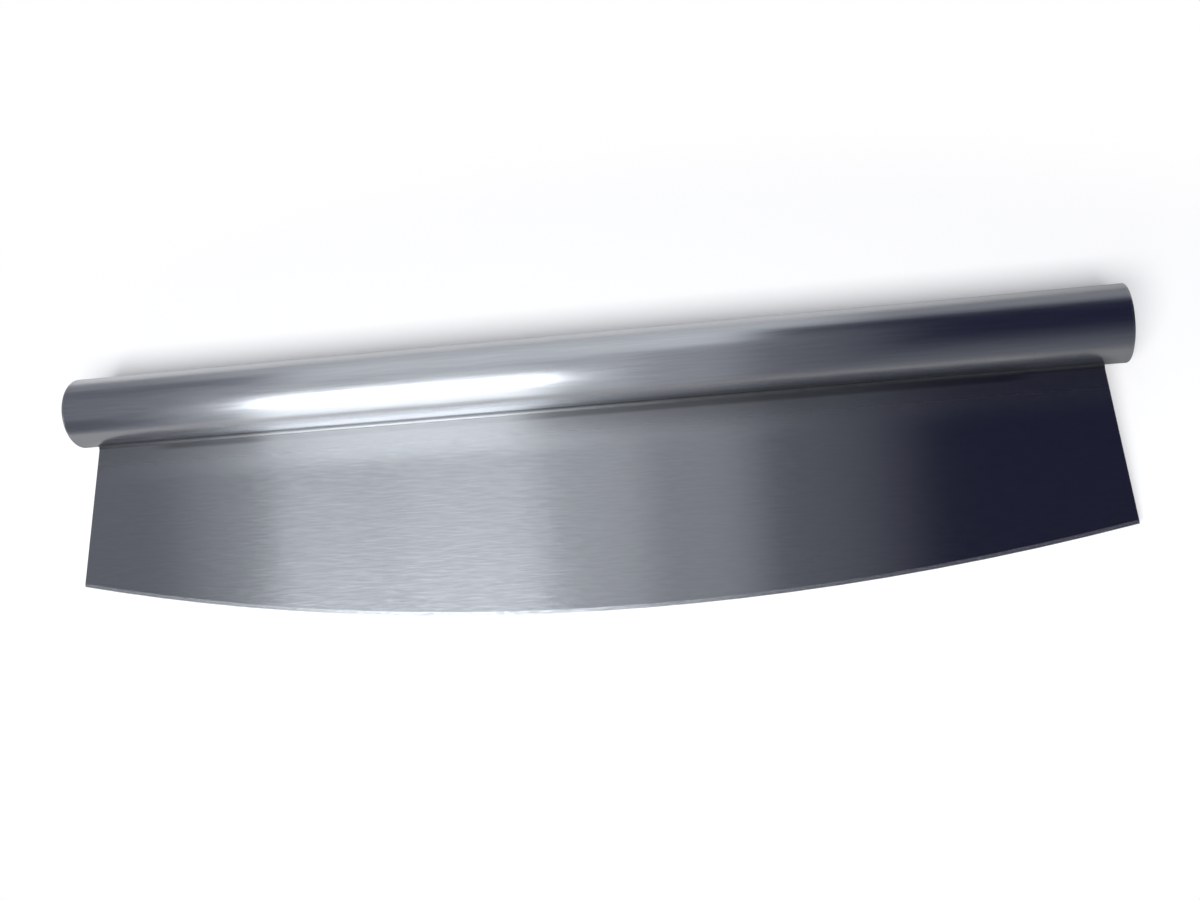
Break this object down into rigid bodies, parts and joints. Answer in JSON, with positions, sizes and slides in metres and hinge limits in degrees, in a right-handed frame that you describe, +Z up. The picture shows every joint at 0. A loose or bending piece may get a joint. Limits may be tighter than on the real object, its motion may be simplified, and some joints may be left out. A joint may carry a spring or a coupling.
{
  "type": "rocking pizza knife",
  "caption": "Rocking pizza knife, all stainless steel: a long flared sheet blade with an arc edge ground from both faces, welded along the underside of a round tube handle.",
  "frame": {"origin": "middle of the knife's footprint on the table, where it lies on its side", "axes": "+X along the handle, +Y from the cutting edge towards the handle, +Z up from the table"},
  "size_m": [0.36, 0.0926, 0.025],
  "materials": {
    "tube_steel": "stainless tube, satin, brushed along its length",
    "blade_steel": "stainless sheet with a fine grain along the handle and a bright ground bevel",
    "weld_steel": "weld metal, dressed smooth and polished",
    "cap_steel": "pressed stainless cap, satin"
  },
  "bodies": {
    "root": {"handle_tube": "tube_steel", "blade": "blade_steel", "front_weld_bead": "weld_steel", "rear_weld_bead": "weld_steel", "left_end_cap": "cap_steel", "right_end_cap": "cap_steel", "left_cap_weld": "weld_steel", "right_cap_weld": "weld_steel"}
  },
  "joints": []
}
